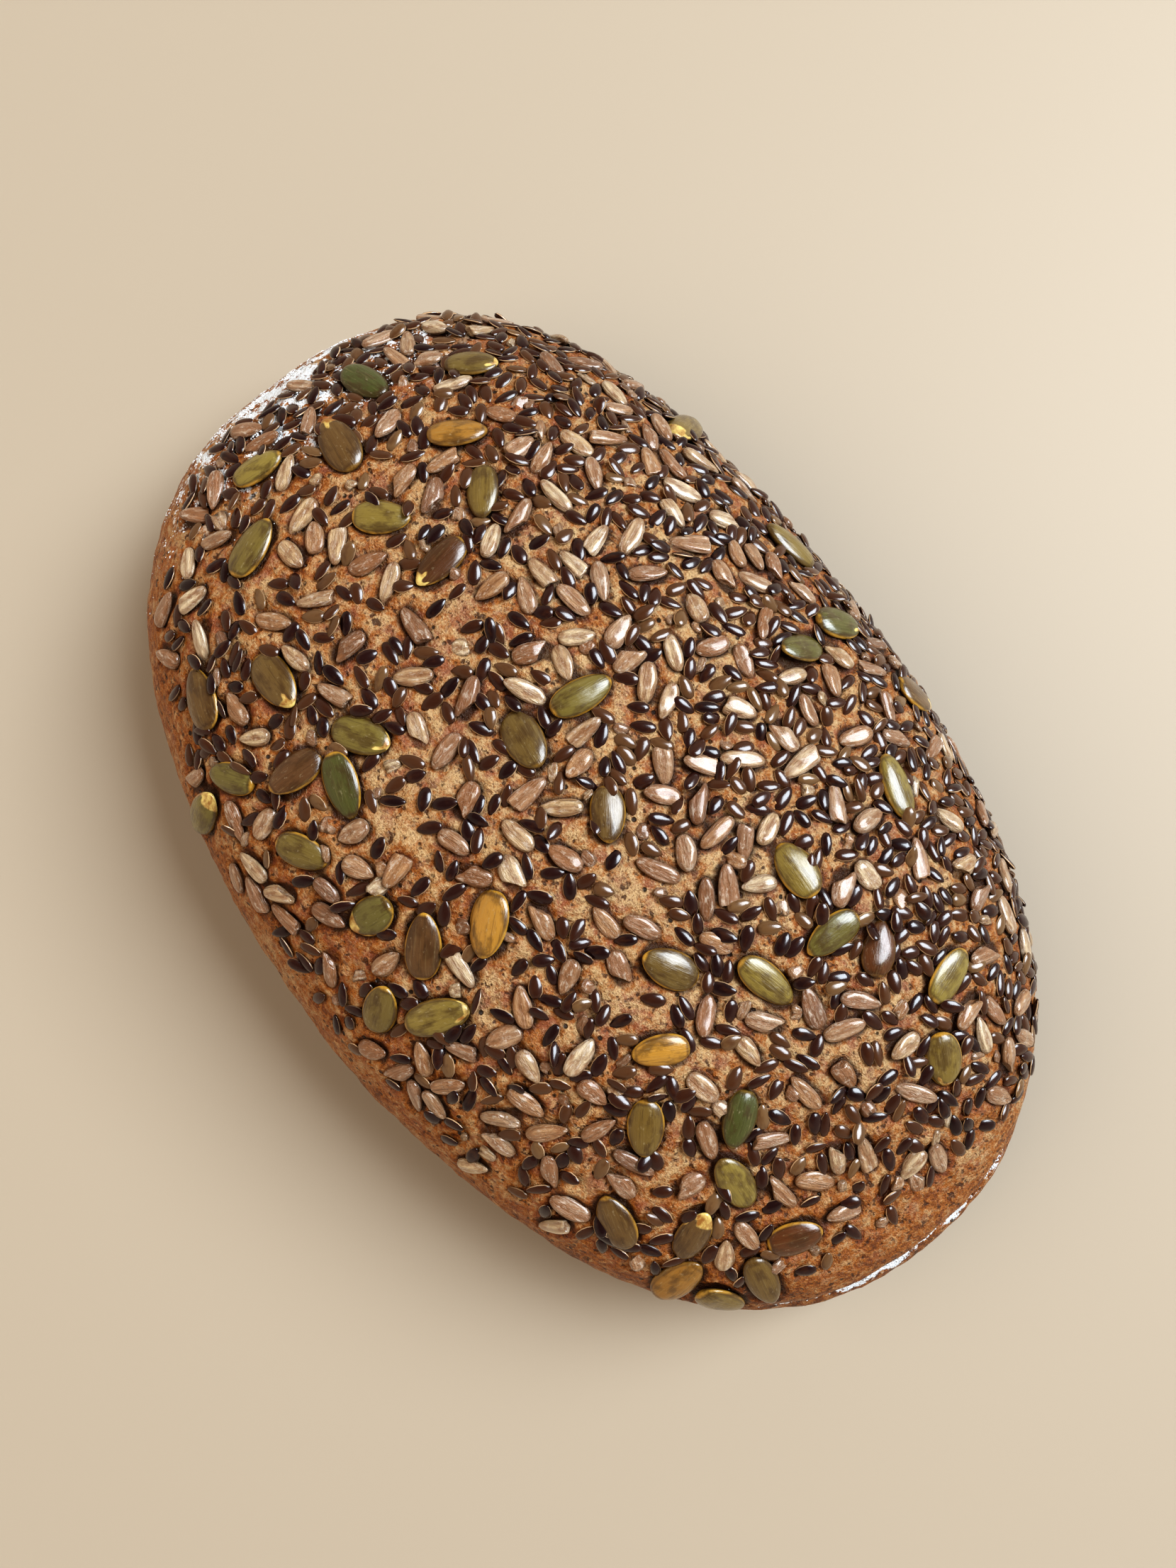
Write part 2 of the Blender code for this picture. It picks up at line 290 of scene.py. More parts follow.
seeding = Seeding(SEED)
pumpkins = []
for patch in PUMPKIN_GROUPS:
    pumpkins += seeding.group(PUMPKIN, *patch)
sunflowers = seeding.cover(SUNFLOWER, SUNFLOWER_COUNT, sunflower_thickness)
chips = seeding.strew(CHIP, CHIP_TRIES, sunflower_thickness, 5)
linseeds = seeding.strew(LINSEED, LINSEED_TRIES, linseed_thickness, 6)
strays = seeding.strew(STRAY, STRAY_TRIES, linseed_thickness, 7)


# The crust. The real one is the dough's skin, baked dry and brown: coarse with wholegrain, sunk round
# each kernel where it rose between them, and darkest where it curves down to the oven floor.
SKIN_CELLS = 134
SKIN_LEVELS = ([-90, -45, -12, 90], [-90, -35, 0, 90])  # the cube's elevations, and the crust's
DENT = 0.00045
DENT_RIM = 0.00025
DENT_MOST = (-0.0008, 0.0005)
DEEP_KERNEL = 0.0026  # a kernel as thick as this dents the skin in full
CLEAR_MOST = 0.0045
FOLD_HEIGHT = 0.0262
FOLD_DEPTH = 0.0015
LEDGE_DROP = 0.0085  # from the fold down to the slighter one
LEDGE_DEPTH = 0.0009

form = bmesh.new()
bmesh.ops.create_cube(form, size=2.0)
bmesh.ops.subdivide_edges(form, edges=form.edges[:], cuts=SKIN_CELLS - 1, use_grid_fill=True)
cube = np.array([corner.co[:] for corner in form.verts])
way = np.tan(cube * np.pi / 4)
way /= np.linalg.norm(way, axis=1, keepdims=True)
azimuths = np.arctan2(way[:, 1], way[:, 0])
elevations = np.radians(np.interp(np.degrees(np.arcsin(np.clip(way[:, 2], -1, 1))), *SKIN_LEVELS))
points = crust(azimuths, elevations)
for corner, point in zip(form.verts, points):
    corner.co = point
form.normal_update()
normals = np.array([corner.normal[:] for corner in form.verts])

# How far each point of the skin is clear of the nearest kernel, and how deep it is dented by it.
near_points = kdtree.KDTree(len(points))
for number, point in enumerate(points):
    near_points.insert(point, number)
near_points.balance()
clear = np.full(len(points), CLEAR_MOST)
dents = np.zeros(len(points))
for place, pose, size in pumpkins + sunflowers + chips + linseeds:
    found = near_points.find_range(place, size[0] / 2 + CLEAR_MOST)
    near = np.array([number for _, number, _ in found], dtype=int)
    if len(near):
        local = (points[near] - np.array(place)) @ np.array(pose)
        core = np.clip(local[:, 0], (size[1] - size[0]) / 2, (size[0] - size[1]) / 2)
        gap = np.hypot(local[:, 0] - core, local[:, 1]) - size[1] / 2
        deep = min(size[2] / DEEP_KERNEL, 1)
        clear[near] = np.minimum(clear[near], np.maximum(gap, 0) + 0.0022 * (1 - deep))
        dent = -DENT * np.exp(-np.square(np.maximum(gap, 0) / 0.0007))
        dents[near] += deep * (dent + DENT_RIM * np.exp(-np.square((gap - 0.0017) / 0.0009)))
dents = np.clip(dents, *DENT_MOST)
raised = np.array([skin_relief(Vector(point)) for point in points])
foot_fade = np.clip(points[:, 2] / 0.005, 0, 1)

# The fold at the creased end, and a slighter one below it in the foot.
fold_line = FOLD_HEIGHT + 0.0009 * np.sin(23 * azimuths + 1.0) + 0.0006 * np.sin(51 * azimuths)
over_fold = points[:, 2] - fold_line
fold = azimuth_window(azimuths, -2, 22) * np.exp(-((over_fold / 0.0010) ** 2))
ledge = azimuth_window(azimuths, -4, 34) * np.exp(-(((over_fold + LEDGE_DROP) / 0.0012) ** 2))
moved = raised + dents - FOLD_DEPTH * fold - LEDGE_DEPTH * ledge
moved = points + normals * (moved * foot_fade)[:, None]

# The marks that its finish reads: how clear of kernels, how dark and how floured each point is. It
# is darkest at the foot and in the folds, and browner at the end that baked hotter. Over the top, a
# little towards +X and +Y, it is palest: that is a painted pool of the window's light.
low = np.clip(1 - (points[:, 2] - 0.016) / 0.036, 0, 1)
# Painted light: a pool of the window's light, paler crust over the top a little towards +X and +Y.
middle = np.exp(-(((points[:, 0] - 0.02) / 0.085) ** 2) - ((points[:, 1] - 0.012) / 0.050) ** 2)
foot = np.clip(1 - points[:, 2] / 0.012, 0, 1)
hot_end = azimuth_window(azimuths, -14, 36) * np.clip((0.050 - points[:, 2]) / 0.016, 0, 1)
browning_and_painted_light = 0.23 + 0.35 * low - 0.15 * middle + 0.28 * foot + 0.35 * fold + 0.15 * ledge + 0.15 * hot_end
browning_and_painted_light = np.clip(browning_and_painted_light, 0, 1)
tip = azimuth_window(azimuths, 179, 15) * np.exp(-(((points[:, 2] - 0.0380) / 0.0085) ** 2))
lip = azimuth_window(azimuths, -2, 15) * np.exp(-(((over_fold + 0.0010) / 0.0014) ** 2))
floured = np.maximum(tip, 1.3 * lip)
marks = {"clear": clear / CLEAR_MOST, "browning_and_painted_light": browning_and_painted_light, "floured": floured}
for name, values in marks.items():
    layer = form.verts.layers.float.new(name)
    for corner, value in zip(form.verts, values):
        corner[layer] = value
for corner, point in zip(form.verts, moved):
    corner.co = point

# The underside is one flat face.
flat = [face for face in form.faces if all(corner.co.z < 1e-6 for corner in face.verts)]
bmesh.ops.dissolve_faces(form, faces=flat)
bmesh.ops.delete(form, geom=[corner for corner in form.verts if not corner.link_faces], context="VERTS")
skin = bpy.data.meshes.new("crust")
form.to_mesh(skin)
form.free()
skin.shade_smooth()


def finish_of(name):
    """A new finish: its material, its node tree and its shader."""
    material = bpy.data.materials.new(name)
    material.use_nodes = True
    return material, material.node_tree, material.node_tree.nodes["Principled BSDF"]


def node(tree, kind, inputs=None, **settings):
    """A new node with its settings, and with sockets or values put into its inputs."""
    made = tree.nodes.new("ShaderNode" + kind)
    for name, value in settings.items():
        setattr(made, name, value)
    for name, value in (inputs or {}).items():
        if isinstance(value, bpy.types.NodeSocket):
            tree.links.new(value, made.inputs[name])
        else:
            made.inputs[name].default_value = value
    return made


def ramp(tree, value, *stops):
    """Colours along a value from 0 to 1: each stop is a place and a colour."""
    made = node(tree, "ValToRGB", {"Fac": value})
    elements = made.color_ramp.elements
    while len(elements) < len(stops):
        elements.new(0.5)
    for element, (place, colour) in zip(elements, stops):
        element.position = place
        element.color = (*colour, 1.0)
    return made.outputs["Color"]


def mixed(tree, share, first, second):
    """Two colours mixed by a share. The node's colours go into its sockets 6 and 7."""
    made = node(tree, "Mix", data_type="RGBA", clamp_factor=True)
    for socket, value in ((0, share), (6, first), (7, second)):
        if isinstance(value, bpy.types.NodeSocket):
            tree.links.new(value, made.inputs[socket])
        elif socket:
            made.inputs[socket].default_value = (*value, 1.0)
        else:
            made.inputs[socket].default_value = value
    return made.outputs[2]


def spread(tree, value, low, high, to_low=0.0, to_high=1.0):
    """A value stretched from one range to another, and held inside it."""
    inputs = {"Value": value, "From Min": low, "From Max": high, "To Min": to_low, "To Max": to_high}
    return node(tree, "MapRange", inputs).outputs["Result"]


def mark(tree, name):
    """One of the piece's own attributes, as a number."""
    return node(tree, "Attribute", attribute_name=name).outputs["Fac"]


def sums(tree, kind, first, second):
    """Two numbers added, multiplied or the like."""
    made = node(tree, "Math", operation=kind)
    for socket, value in enumerate((first, second)):
        if isinstance(value, bpy.types.NodeSocket):
            tree.links.new(value, made.inputs[socket])
        else:
            made.inputs[socket].default_value = value
    return made.outputs[0]


def mist(tree, where, scale, detail=3.0, rough=0.6):
    """Noise over a place, as a number around a half."""
    inputs = {"Vector": where, "Scale": scale, "Detail": detail, "Roughness": rough}
    return node(tree, "TexNoise", inputs).outputs["Fac"]


def baked_crust():
    """Wholegrain crust: ochre to dark brown, granular, floured, with painted shade beside the kernels, in its
    pits and pores and in the hollows of its relief.
    """
    material, tree, shader = finish_of("baked crust")
    where = node(tree, "TexCoord").outputs["Object"]
    patches = mist(tree, where, 75.0)
    mottle = mist(tree, where, 300.0)
    crumbs = mist(tree, where, 900.0, 2.0)
    grain = mist(tree, where, 2300.0, 3.0, 0.7)
    holes = node(tree, "TexVoronoi", {"Vector": where, "Scale": 330.0}).outputs["Distance"]
    clear = mark(tree, "clear")
    browning_and_painted_light = mark(tree, "browning_and_painted_light")

    # The baked colour, darker in patches. Painted shade: darker round the kernels and in the low places of
    # the crumbly relief, paler on its raised tops.
    tone = sums(tree, "ADD", browning_and_painted_light, spread(tree, patches, 0.36, 0.64, -0.15, 0.15))
    tone = sums(tree, "ADD", tone, spread(tree, mottle, 0.36, 0.64, -0.12, 0.12))
    # Painted shade round each kernel: the nearer the kernel, the darker the crust.
    tone = sums(tree, "ADD", tone, spread(tree, clear, 0.0, 0.50, 0.24, -0.06))
    # Painted light and shade of the relief: the crumbs that the bump raises are paler, their hollows darker.
    tone = sums(tree, "ADD", tone, spread(tree, crumbs, 0.36, 0.64, 0.20, -0.20))
    colour = ramp(
        tree,
        tone,
        (0.0, (0.46, 0.300, 0.155)),
        (0.20, (0.385, 0.200, 0.084)),
        (0.42, (0.335, 0.118, 0.018)),
        (0.66, (0.185, 0.052, 0.007)),
        (1.0, (0.045, 0.012, 0.003)),
    )

    # Rosy and sandy stains, and flakes of bran. Pale flecks on the raised crumbs and grains, and dark grains
    # in their dips: partly pale and dark bran, partly painted light and shade of the relief.
    blush = mist(tree, where, 210.0, 4.0)
    rosy = spread(tree, browning_and_painted_light, 0.20, 0.55, 0.70, 0.30)
    rosy = sums(tree, "MULTIPLY", spread(tree, blush, 0.51, 0.62), rosy)
    colour = mixed(tree, rosy, colour, (0.250, 0.080, 0.040))
    sandy = spread(tree, browning_and_painted_light, 0.12, 0.40, 0.50, 0.0)
    sandy = sums(tree, "MULTIPLY", spread(tree, blush, 0.47, 0.36), sandy)
    colour = mixed(tree, sandy, colour, (0.52, 0.36, 0.18))
    fleck = ramp(tree, browning_and_painted_light, (0.10, (0.72, 0.56, 0.36)), (0.42, (0.46, 0.180, 0.030)))
    # Partly painted light: pale flecks on the tops of the raised crumbs and grains.
    pale = spread(tree, crumbs, 0.44, 0.62, 0.12, 0.62)
    pale = sums(tree, "MULTIPLY", spread(tree, grain, 0.53, 0.66), pale)
    pale = sums(tree, "MULTIPLY", pale, spread(tree, browning_and_painted_light, 0.15, 0.50, 1.0, 0.35))
    colour = mixed(tree, pale, colour, fleck)
    # Partly painted shade: dark grains in the dips of the grain.
    dark = sums(tree, "MULTIPLY", spread(tree, grain, 0.47, 0.37), 0.55)
    colour = mixed(tree, dark, colour, (0.075, 0.021, 0.005))
    cells = node(tree, "TexVoronoi", {"Vector": where, "Scale": 760.0})
    bran = node(tree, "SeparateColor", {"Color": cells.outputs["Color"]})
    flake = spread(tree, bran.outputs["Red"], 0.80, 0.90)
    flake = sums(tree, "MULTIPLY", flake, spread(tree, crumbs, 0.42, 0.54))
    flake_colour = ramp(
        tree,
        bran.outputs["Green"],
        (0.25, (0.120, 0.030, 0.010)),
        (0.75, (0.520, 0.310, 0.150)),
    )
    colour = mixed(tree, sums(tree, "MULTIPLY", flake, 0.60), colour, flake_colour)

    # Painted shade: dark in the pits, a dark contact shadow round each kernel, and near black in the pores of
    # burst bubbles.
    # Painted shade in the small pits that the bump sinks.
    pit_depth_and_shade = spread(tree, mist(tree, where, 560.0, 2.0), 0.40, 0.32, 0.0, 0.85)
    colour = mixed(tree, pit_depth_and_shade, colour, (0.050, 0.015, 0.004))
    # Painted shade: a contact shadow right round each kernel.
    contact_shadow = sums(tree, "MULTIPLY", spread(tree, clear, 0.16, 0.01), 0.90)
    colour = mixed(tree, contact_shadow, colour, (0.030, 0.009, 0.002))
    # Painted shade: the pores of burst bubbles, sunk by the bump, near black inside.
    pocked = spread(tree, mist(tree, where, 120.0), 0.49, 0.55)
    pore_depth_and_shade = sums(tree, "MULTIPLY", spread(tree, holes, 0.19, 0.12), pocked)
    colour = mixed(tree, sums(tree, "MULTIPLY", pore_depth_and_shade, 0.94), colour, (0.016, 0.008, 0.006))

    # The flour's dust, matt and broken into clots.
    lumps = spread(tree, mist(tree, where, 240.0), 0.38, 0.62, -0.70, 0.35)
    lumps = sums(tree, "ADD", lumps, spread(tree, crumbs, 0.36, 0.64, -0.30, 0.30))
    lumps = sums(tree, "ADD", lumps, spread(tree, grain, 0.36, 0.64, -0.30, 0.30))
    dusting = spread(tree, sums(tree, "ADD", mark(tree, "floured"), lumps), 0.42, 0.66, 0.0, 0.94)
    dusting = sums(tree, "MULTIPLY", dusting, spread(tree, mark(tree, "floured"), 0.08, 0.25))
    colour = mixed(tree, dusting, colour, (0.73, 0.76, 0.79))
    tree.links.new(colour, shader.inputs["Base Color"])
    gloss = spread(tree, grain, 0.42, 0.60, 0.50, 0.24)
    tree.links.new(sums(tree, "MAXIMUM", gloss, dusting), shader.inputs["Roughness"])

    height = sums(tree, "ADD", sums(tree, "MULTIPLY", mottle, 0.30), sums(tree, "MULTIPLY", crumbs, 0.44))
    height = sums(tree, "ADD", height, sums(tree, "MULTIPLY", grain, 0.34))
    height = sums(tree, "SUBTRACT", height, sums(tree, "MULTIPLY", pore_depth_and_shade, 0.5))
    height = sums(tree, "SUBTRACT", height, sums(tree, "MULTIPLY", pit_depth_and_shade, 0.12))
    height = sums(tree, "ADD", height, sums(tree, "MULTIPLY", flake, 0.06))
    bump = node(tree, "Bump", {"Height": height, "Strength": 1.0, "Distance": 0.0013})
    tree.links.new(bump.outputs["Normal"], shader.inputs["Normal"])
    return material


def place_piece(name, mesh, material):
    """Puts a finished mesh in the scene as a piece of the loaf."""
    mesh.materials.clear()
    mesh.materials.append(material)
    piece = bpy.data.objects.new(name, mesh)
    bpy.context.scene.collection.objects.link(piece)
    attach(piece, "root")
    return piece


crust_piece = place_piece("crust", skin, baked_crust())
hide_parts("loaf")


# The pumpkin kernels. Real ones are flat ovals with a blunt tip and a seam round the edge, thin green
# skins over a pale heart, roasted olive to brown, some split at the tip or gone golden at the rim.
PUMPKIN_ROUND = 20
PUMPKIN_ALONG = 14


def rounded_form(around, along):
    """A ball whose poles lie on the X axis, as the start of a kernel."""
    form = bmesh.new()
    bmesh.ops.create_uvsphere(form, u_segments=around, v_segments=along, radius=1.0)
    bmesh.ops.rotate(form, verts=form.verts, matrix=Matrix.Rotation(math.pi / 2, 3, "Y"))
    return form


def drop_width(along, base, tip):
    """A drop's width, 1 at its widest: round at -1, where base is 0.5, and pointed at +1, as tip nears 1."""
    share = min(max((1 + along) / 2, 0), 1)
    widest = base / (base + tip)
    most = widest**base * (1 - widest) ** tip
    return share**base * (1 - share) ** tip / most


def pumpkin_form(draw, split):
    """One pumpkin kernel, 1 long, 1 wide and 1 thick, uneven in its own way. +X is its tip.

    From split on, if it is named, the skin has torn off the pale kernel."""
    form = rounded_form(PUMPKIN_ROUND, PUMPKIN_ALONG)
    form.verts.layers.float.new("rim")
    splits = form.verts.layers.float.new("split")
    rims = form.verts.layers.float["rim"]
    tip = draw.uniform(0.50, 0.60)
    bow = draw.uniform(-0.05, 0.05)
    dish = draw.uniform(0.0, 0.25)
    shift = Vector((draw.uniform(0, 9), draw.uniform(0, 9), draw.uniform(0, 9)))
    for corner in form.verts:
        along = corner.co.x
        turn = math.atan2(corner.co.z, corner.co.y)
        rise = abs(math.sin(turn))
        width = drop_width(along, 0.44, tip)
        thick = width**0.75 * rise**1.05 * (1 - dish * abs(math.cos(turn)) ** 3)
        seam = max(1 - rise / 0.40, 0)
        if split and along + 0.30 * noise.noise(corner.co * 2.4 + shift) > split:
            corner[splits] = 1.0
            width *= 0.90
            thick *= 0.80
        dimple = 1 + 0.16 * noise.noise(Vector((along * 1.6, corner.co.y * 1.6, corner.co.z)) + shift)
        corner.co.x = 0.5 * along
        corner.co.y = 0.5 * width * math.cos(turn) * (1 + 0.03 * seam) + bow * (1 - along * along) * 0.5
        corner.co.z = 0.5 * thick * dimple * math.copysign(1, math.sin(turn))
        corner[rims] = max(1 - rise / 0.62, (abs(along) - 0.84) / 0.16, 0)
    return form


def join_copies(name, forms, laid, kind, draw):
    """One mesh holding a copy of one of the forms for each kernel laid, with its marks."""
    shapes = []
    for form in forms:
        form.verts.index_update()
        corners = np.array([corner.co for corner in form.verts])
        faces = sorted([corner.index for corner in face.verts] for face in form.faces)
        form_marks = {}
        for mark_name, layer in form.verts.layers.float.items():
            form_marks[mark_name] = [corner[layer] for corner in form.verts]
        shapes.append((corners, faces, form_marks))
        form.free()
    points, faces, grain = [], [], []
    marks = {}
    start = 0
    for place, pose, size in laid:
        corners, form_faces, form_marks = shapes[draw.randrange(len(shapes))]
        here = place + pose.col[2] * (size[2] * (kind["proud"] - 0.5) + skin_relief(place))
        points.append(corners * size @ np.array(pose).T + here)
        faces += [[start + corner for corner in face] for face in form_faces]
        start += len(corners)
        shade = [draw.random()] * len(corners)
        tint = [draw.random()] * len(corners)
        for mark_name, values in {**form_marks, "shade": shade, "tint": tint}.items():
            marks.setdefault(mark_name, []).extend(values)
        grain.append(corners + [draw.uniform(0, 60), draw.uniform(0, 60), draw.uniform(0, 60)])
    mesh = bpy.data.meshes.new(name)
    mesh.from_pydata(np.concatenate(points), [], faces)
    for mark_name, values in marks.items():
        mesh.attributes.new(mark_name, "FLOAT", "POINT").data.foreach_set("value", values)
    along_grain = mesh.attributes.new("grain", "FLOAT_VECTOR", "POINT")
    along_grain.data.foreach_set("vector", np.concatenate(grain).ravel())
    mesh.shade_smooth()
    return mesh


def roasted_pumpkin():
    """Roasted pumpkin kernel: glossy olive to brown skin, finely veined and scuffed, golden at the seam."""
    material, tree, shader = finish_of("roasted pumpkin kernel")
    grain = node(tree, "Attribute", attribute_name="grain").outputs["Vector"]
    veins = node(tree, "Mapping", {"Vector": grain, "Scale": (1.8, 17.0, 3.0)}).outputs["Vector"]
    streaks = mist(tree, veins, 1.0, 3.0)
    blots = mist(tree, grain, 2.6, 4.0)
    colour = ramp(
        tree,
        mark(tree, "shade"),
        (0.0, (0.055, 0.066, 0.020)),
        (0.08, (0.090, 0.084, 0.024)),
        (0.22, (0.165, 0.128, 0.034)),
        (0.42, (0.130, 0.078, 0.026)),
        (0.58, (0.102, 0.046, 0.020)),
        (0.71, (0.235, 0.180, 0.046)),
        (0.84, (0.130, 0.076, 0.022)),
        (0.92, (0.070, 0.018, 0.010)),
        (0.98, (0.400, 0.215, 0.040)),
    )
    colour = mixed(tree, spread(tree, blots, 0.48, 0.62, 0.0, 0.60), colour, (0.052, 0.024, 0.009))
    # Painted shade on the sloping edge and tips of each kernel, where it dips to the crust.
    painted_edge_shade = sums(tree, "MULTIPLY", spread(tree, mark(tree, "rim"), 0.02, 0.22), 0.50)
    colour = mixed(tree, painted_edge_shade, colour, (0.050, 0.020, 0.006))
    golden = spread(tree, mark(tree, "tint"), 0.05, 0.60)
    golden = sums(tree, "MULTIPLY", spread(tree, mark(tree, "rim"), 0.28, 0.62), golden)
    golden = sums(tree, "MULTIPLY", golden, spread(tree, blots, 0.62, 0.46, 0.15, 0.95))
    colour = mixed(tree, golden, colour, (0.430, 0.240, 0.035))
    colour = mixed(tree, spread(tree, streaks, 0.56, 0.70, 0.0, 0.16), colour, (0.320, 0.250, 0.120))
    colour = mixed(tree, spread(tree, streaks, 0.43, 0.32, 0.0, 0.34), colour, (0.035, 0.016, 0.006))
    scuffs = spread(tree, mist(tree, grain, 9.0, 4.0, 0.7), 0.60, 0.72, 0.0, 0.35)
    colour = mixed(tree, scuffs, colour, (0.420, 0.360, 0.240))
    split = spread(tree, mark(tree, "split"), 0.35, 0.65)
    bare = mixed(tree, spread(tree, blots, 0.42, 0.60), (0.640, 0.500, 0.180), (0.280, 0.130, 0.030))
    colour = mixed(tree, split, colour, bare)
    tree.links.new(colour, shader.inputs["Base Color"])
    shader.inputs["Roughness"].default_value = 0.32
    shader.inputs["Coat Weight"].default_value = 0.7
    shader.inputs["Coat Roughness"].default_value = 0.16
    height = sums(tree, "ADD", streaks, sums(tree, "MULTIPLY", blots, 1.5))
    bump = node(tree, "Bump", {"Height": height, "Strength": 0.35, "Distance": 0.0004})
    tree.links.new(bump.outputs["Normal"], shader.inputs["Normal"])
    return material


draw = random.Random(41)
pumpkin_forms = [pumpkin_form(draw, split) for split in (0, 0, 0.74, 0, 0, 0.58, 0, 0.86, 0)]
pumpkin_mesh = join_copies("pumpkin_kernels", pumpkin_forms, pumpkins, PUMPKIN, draw)
pumpkin_piece = place_piece("pumpkin_kernels", pumpkin_mesh, roasted_pumpkin())


def round_off(piece):
    """Smooths a piece's coarse faces into curves."""
    rounding = piece.modifiers.new("rounding", "SUBSURF")
    rounding.levels = 1
    rounding.render_levels = 1


round_off(pumpkin_piece)


# The sunflower kernels. Real ones are narrow drops with a sharp tip and a few long ridges, cream under
# a thin greyish skin, toasted beige to brown, and a good part of them are chipped or broken across.
SUNFLOWER_ROUND = 12
SUNFLOWER_ALONG = 7
SUNFLOWER_FORMS = 12
WHOLE_FORMS = 8
CHIP_FORMS = 5


def sunflower_form(draw, broken):
    """One sunflower kernel, 1 long, 1 wide and 1 thick. +X is its pointed tip."""
    form = rounded_form(SUNFLOWER_ROUND, SUNFLOWER_ALONG)
    rims = form.verts.layers.float.new("rim")
    base = draw.uniform(0.36, 0.46)
    tip = draw.uniform(0.48, 0.74)
    furrow = draw.uniform(0.04, 0.12)
    bow = draw.uniform(-0.14, 0.14)
    shift = Vector((draw.uniform(0, 9), draw.uniform(0, 9), draw.uniform(0, 9)))
    cut = draw.uniform(0.0, 0.55)
    tilt = draw.uniform(-0.4, 0.4)
    for corner in form.verts:
        along = corner.co.x
        turn = math.atan2(corner.co.z, corner.co.y)
        ridge = 1 + furrow * math.cos(6 * turn)
        body = drop_width(along, base, tip) * ridge
        if broken:
            along = min(along, cut + tilt * corner.co.y + 0.12 * noise.noise(corner.co * 3 + shift))
        uneven = 1 + 0.22 * noise.noise(corner.co * 1.7 + shift) + 0.10 * noise.noise(corner.co * 4 + shift)
        corner.co.x = 0.53 * along
        corner.co.y = 0.52 * body * math.cos(turn) * uneven + bow * (1 - along * along) * 0.5
        corner.co.z = 0.55 * body * math.sin(turn) * uneven
        # rim: 1 at the ends and in the furrows between the ridges. Its darkening is the ends' own colour, and
        # painted shade in the furrows.
        corner[rims] = max(max(abs(along) - 0.66, 0) / 0.34, 0.5 - 0.5 * math.cos(6 * turn))
    least = min(corner.co.x for corner in form.verts)
    most = max(corner.co.x for corner in form.verts)
    for corner in form.verts:
        corner.co.x = (corner.co.x - least) / (most - least) * 1.04 - 0.52
        flat = 0.34 * (1 + noise.noise(Vector((corner.co.x * 2, 0, 0)) + shift))
        corner.co.z = min(corner.co.z, flat)
    return form


def toasted_sunflower():
    """Toasted sunflower kernel: beige to brown, streaked, darker at its ends, with painted shade in its
    furrows and grooves and paler streaks on its ridges, partly its thin skin and partly a painted sheen.
    """
    material, tree, shader = finish_of("toasted sunflower kernel")
    grain = node(tree, "Attribute", attribute_name="grain").outputs["Vector"]
    lengthwise = node(tree, "Mapping", {"Vector": grain, "Scale": (1.0, 6.5, 6.5)}).outputs["Vector"]
    streaks = mist(tree, lengthwise, 1.0, 4.0, 0.65)
    blots = mist(tree, grain, 2.4, 4.0)
    colour = ramp(
        tree,
        mark(tree, "shade"),
        (0.0, (0.68, 0.56, 0.39)),
        (0.18, (0.55, 0.40, 0.235)),
        (0.38, (0.41, 0.275, 0.178)),
        (0.56, (0.42, 0.240, 0.118)),
        (0.72, (0.33, 0.196, 0.120)),
        (0.86, (0.31, 0.150, 0.070)),
        (1.0, (0.170, 0.088, 0.052)),
    )
    colour = mixed(tree, spread(tree, blots, 0.46, 0.62, 0.0, 0.70), colour, (0.265, 0.118, 0.048))
    # Darker at the ends, and painted shade in the furrows.
    colour = mixed(tree, sums(tree, "MULTIPLY", mark(tree, "rim"), 0.60), colour, (0.190, 0.082, 0.032))
    # Painted shade in the lengthwise grooves, and paler ridges, partly the papery skin and partly a painted
    # sheen.
    colour = mixed(tree, spread(tree, streaks, 0.53, 0.70, 0.0, 0.24), colour, (0.185, 0.085, 0.038))
    colour = mixed(tree, spread(tree, streaks, 0.47, 0.30, 0.0, 0.24), colour, (0.74, 0.66, 0.54))
    skin = spread(tree, mist(tree, grain, 4.0, 4.0, 0.7), 0.54, 0.66, 0.0, 0.60)
    colour = mixed(tree, skin, colour, (0.62, 0.54, 0.46))
    tree.links.new(colour, shader.inputs["Base Color"])
    shader.inputs["Roughness"].default_value = 0.34
    shader.inputs["Coat Weight"].default_value = 1.0
    shader.inputs["Coat Roughness"].default_value = 0.16
    height = sums(tree, "ADD", streaks, sums(tree, "MULTIPLY", blots, 0.9))
    bump = node(tree, "Bump", {"Height": height, "Strength": 0.9, "Distance": 0.0009}, invert=True)
    tree.links.new(bump.outputs["Normal"], shader.inputs["Normal"])
    return material


draw = random.Random(42)
sunflower_forms = [sunflower_form(draw, number >= WHOLE_FORMS) for number in range(SUNFLOWER_FORMS)]
sunflower_mesh = join_copies("sunflower_kernels", sunflower_forms, sunflowers, SUNFLOWER, draw)
sunflower_finish = toasted_sunflower()
sunflower_piece = place_piece("sunflower_kernels", sunflower_mesh, sunflower_finish)
round_off(sunflower_piece)
chip_forms = [sunflower_form(draw, True) for _ in range(CHIP_FORMS)]
chip_mesh = join_copies("kernel_chips", chip_forms, chips, CHIP, draw)
place_piece("kernel_chips", chip_mesh, sunflower_finish)


# The linseeds. Real ones are small flat drops with a sharp rim, a glassy dark brown coat, and a thin
# paler line along the rim, painted here partly as the coat's colour and partly as a highlight on the
# sharp edge. They lie every way, and overlap where they drifted together.
LINSEED_ROUND = 10
LINSEED_ALONG = 6
LINSEED_FORMS = 5


